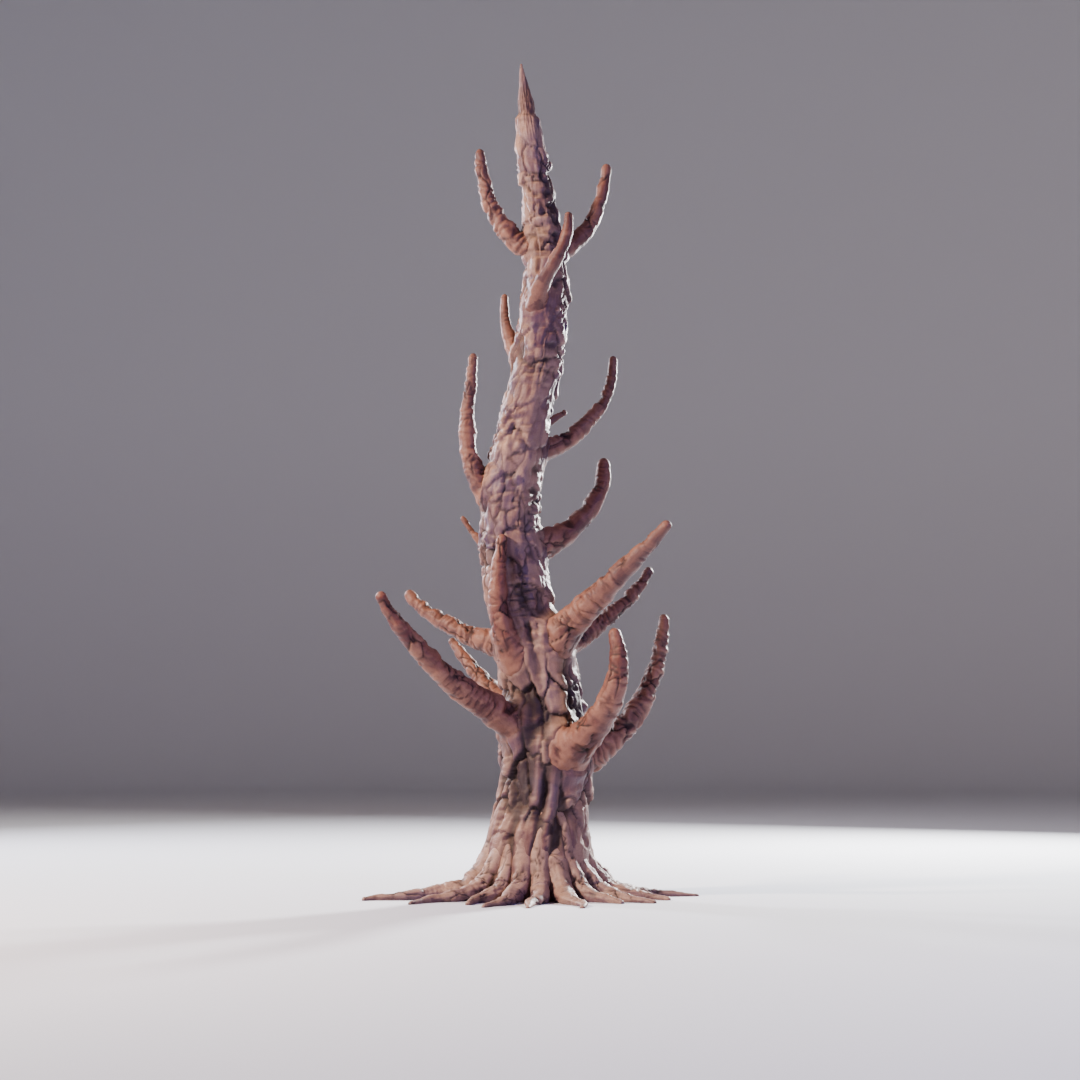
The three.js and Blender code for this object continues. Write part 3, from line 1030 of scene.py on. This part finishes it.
def smooth_wall():
    """A smooth copy of the trunk's plain solid, open underneath, for the bark to be laid on."""
    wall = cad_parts[TRUNK].copy()
    wall.data = wall.data.copy()
    wall.name = "wall"
    wall.parent = None
    bpy.context.scene.collection.objects.link(wall)
    pick_only(wall)
    bpy.ops.object.mode_set(mode="EDIT")
    bpy.ops.mesh.select_all(action="SELECT")
    bpy.ops.mesh.remove_doubles(threshold=WELD)
    bpy.ops.mesh.tris_convert_to_quads(face_threshold=QUAD_TURN, shape_threshold=QUAD_TURN)
    bpy.ops.mesh.select_all(action="DESELECT")
    bpy.ops.object.mode_set(mode="OBJECT")
    for face in wall.data.polygons:
        face.select = face.normal.z < FACING_DOWN and face.center.z < NEAR_GROUND
    bpy.ops.object.mode_set(mode="EDIT")
    bpy.ops.mesh.delete(type="FACE")
    bpy.ops.object.mode_set(mode="OBJECT")
    apply_modifier(wall, "rounding", "SUBSURF", levels=WALL_ROUNDING, render_levels=WALL_ROUNDING)
    return wall


def draw_trunk(wall, laying):
    """The trunk's bark as a dense smooth skin on its wall, carried on below the ground."""
    shares = np.linspace(0.0, 1.0, TRUNK_RINGS + 1)
    shares = RING_CROWDING * shares**2 + (1.0 - RING_CROWDING) * shares
    heights = -GROUND_MARGIN + (HEIGHT + TIP_SPARE + GROUND_MARGIN) * shares
    girths = [trunk_girth(max(z, NEAR_GROUND)) for z in heights]
    rings = [(z, girth, girth) for z, girth in zip(heights, girths)]
    bar = straight_bar("trunk_bark", rings, TRUNK_SIDES)
    axis = np.array([trunk_centre(z) for z in np.linspace(0.0, HEIGHT, AXIS_POINTS)])
    path, lead = path_curve("trunk_path", axis, "Z_UP")
    apply_modifier(bar, "rounding", "SUBSURF", levels=SMOOTHING, render_levels=SMOOTHING)
    shape_by(bar, laying, Path=path, Wall=wall, Lead=lead)
    apply_modifier(bar, "easing", "SMOOTH", factor=0.5, iterations=TRUNK_EASING)
    remove(path)
    return bar


bending = make_bending()
laying = make_laying()
trunk_relief = make_trunk_bark()
bough_relief = make_bough_bark()
root_relief = make_root_bark()

# Each limb's grain is read from another stretch of the same pattern.
GRAIN_SHIFT = 3.7

wall = smooth_wall()
limbs = []
for number, node in enumerate(BOUGHS + ROOTS):
    bar, path, lead, length = draw_root(node) if node in ROOTS else draw_bough(node)
    apply_modifier(bar, "rounding", "SUBSURF", levels=SMOOTHING, render_levels=SMOOTHING)
    shape_by(bar, bending, Path=path, Lead=lead, Shift=GRAIN_SHIFT * number)
    limbs.append((node, bar, length))
    remove(path)

bpy.ops.object.select_all(action="DESELECT")
for _, bar, _ in limbs:
    bar.select_set(True)
bpy.context.view_layer.objects.active = limbs[0][1]
bpy.ops.object.duplicate()
bpy.ops.object.join()
neighbours = bpy.context.object
neighbours.name = "neighbours"

trunk = draw_trunk(wall, laying)
shape_by(trunk, trunk_relief, Limbs=neighbours)
cut_at_ground(trunk)
finish_piece(trunk, TRUNK, trunk_bark)

for node, bar, length in limbs:
    if node in ROOTS:
        shape_by(bar, root_relief, Wall=wall, Length=length)
        cut_at_ground(bar)
        finish_piece(bar, node, root_bark)
    else:
        looks = {"Ridges": RIDGES.get(node, FAINT_RIDGES), "Rust": RUST.get(node, 0.0)}
        shape_by(bar, bough_relief, Wall=wall, Length=length, **looks)
        finish_piece(bar, node, bough_bark)
remove(wall, neighbours)


# ---- Floor and light ---------------------------------------------------------------------------------

FLOOR_RADIUS = 34.0
FLOOR_SIDES = 96
SWEEP_RADIUS = 10.0
SWEEP_STEPS = 12
WALL_HEIGHT = 26.0
MIDDLE = (0.0, 0.0, HEIGHT * 0.45)


def plain_material(name, code):
    """A dull finish in one colour."""
    material = bpy.data.materials.new(name)
    material.use_nodes = True
    shader = material.node_tree.nodes["Principled BSDF"]
    shader.inputs["Base Color"].default_value = colour(code)
    shader.inputs["Roughness"].default_value = 0.9
    return material


def add_floor():
    """A pale round floor whose rim sweeps up into a wall all the way round."""
    bpy.ops.object.select_all(action="DESELECT")
    bpy.ops.mesh.primitive_circle_add(vertices=FLOOR_SIDES, radius=FLOOR_RADIUS, fill_type="NGON")
    floor = bpy.context.object
    floor.name = "floor"
    bpy.ops.object.mode_set(mode="EDIT")
    bpy.ops.mesh.select_mode(type="EDGE")
    bpy.ops.mesh.select_all(action="SELECT")
    bpy.ops.mesh.region_to_loop()
    reach = FLOOR_RADIUS
    step = SWEEP_RADIUS * (pi / 2) / SWEEP_STEPS
    for k in range(SWEEP_STEPS):
        turn = (k + 0.5) / SWEEP_STEPS * pi / 2
        bpy.ops.mesh.extrude_edges_move(TRANSFORM_OT_translate={"value": (0.0, 0.0, step * sin(turn))})
        share = (reach + step * cos(turn)) / reach
        bpy.ops.transform.resize(value=(share, share, 1.0), center_override=(0.0, 0.0, 0.0))
        reach = reach + step * cos(turn)
    bpy.ops.mesh.extrude_edges_move(TRANSFORM_OT_translate={"value": (0.0, 0.0, WALL_HEIGHT)})
    bpy.ops.mesh.select_all(action="SELECT")
    bpy.ops.mesh.normals_make_consistent(inside=True)
    bpy.ops.object.mode_set(mode="OBJECT")
    bpy.ops.object.shade_smooth()
    floor.data.materials.append(plain_material("floor_pale", "CDCED3"))


def add_light(name, place, size, power, code):
    """A round lamp that faces the middle of the tree."""
    data = bpy.data.lights.new(name, "AREA")
    data.shape = "DISK"
    data.size = size
    data.energy = power
    data.color = colour(code)[:3]
    light = bpy.data.objects.new(name, data)
    light.location = place
    light.rotation_euler = (Vector(MIDDLE) - Vector(place)).to_track_quat("-Z", "Y").to_euler()
    bpy.context.scene.collection.objects.link(light)


add_floor()
# A warm key from the left, a cool fill on the shaded side, and two rims that edge the bark from behind.
add_light("key", (-13.0, -6.8, 10.0), 2.0, 7200.0, "FFE8D8")
add_light("fill", (12.0, -14.0, 8.0), 3.0, 1700.0, "A09AFF")
add_light("rim_right", (7.5, 11.5, 7.0), 1.6, 9000.0, "FFFFFF")
add_light("rim_left", (-10.0, 10.0, 8.0), 2.0, 3600.0, "F2F2FF")

world = bpy.data.worlds.new("world")
bpy.context.scene.world = world
world.use_nodes = True
backdrop = world.node_tree.nodes["Background"]
backdrop.inputs["Color"].default_value = colour("6A7286")
backdrop.inputs["Strength"].default_value = 0.08
